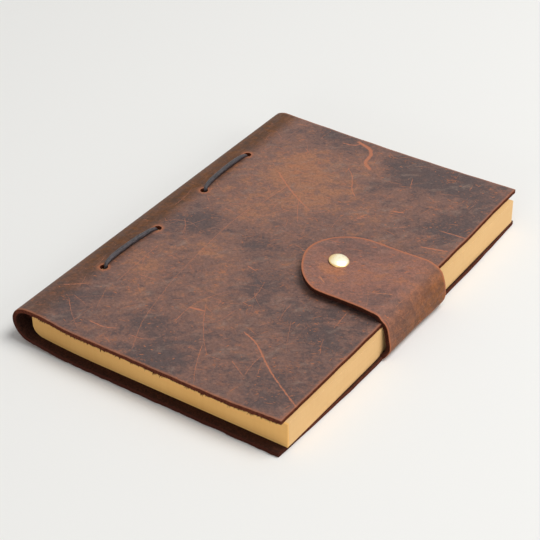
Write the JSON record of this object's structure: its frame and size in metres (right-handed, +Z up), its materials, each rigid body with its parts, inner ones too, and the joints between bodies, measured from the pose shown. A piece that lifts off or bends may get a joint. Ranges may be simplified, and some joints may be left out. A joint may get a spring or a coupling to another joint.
{
  "type": "leather journal",
  "caption": "Leather-bound journal: a block of gilt-tinted pages stitched into one wrapped hide with a hollow spine, closed by a wide strap and a press stud.",
  "frame": {"origin": "on the table, on the underside of the back cover, below the middle of the page block", "axes": "+X from the spine to the fore edge and the strap, +Y from the tail to the head, +Z up through the front cover"},
  "size_m": [0.1588, 0.2244, 0.0243],
  "materials": {
    "leather": "oiled, scuffed",
    "pages": "matt, tinted edges",
    "cord": "waxed satin",
    "stud": "polished"
  },
  "bodies": {
    "journal": {"leather_cover": "leather", "page_block": "pages", "binding_cord_tail": "cord", "binding_cord_head": "cord", "snap_stud": "stud", "snap_eyelet": "stud"},
    "strap": {"closure_strap": "leather"},
    "flap": {"closure_flap": "leather", "snap_cap": "stud", "snap_socket": "stud"}
  },
  "joints": [
    {"name": "strap_swing", "type": "hinge", "parent": "journal", "child": "strap", "pos_m": [0.07449, 0, 0.00241], "axis": [0, 1, 0], "range_deg": [0, 87]},
    {"name": "flap_fold", "type": "hinge", "parent": "strap", "child": "flap", "pos_m": [0.07273, 0, 0.01831], "axis": [0, 1, 0], "range_deg": [0, 90]}
  ]
}
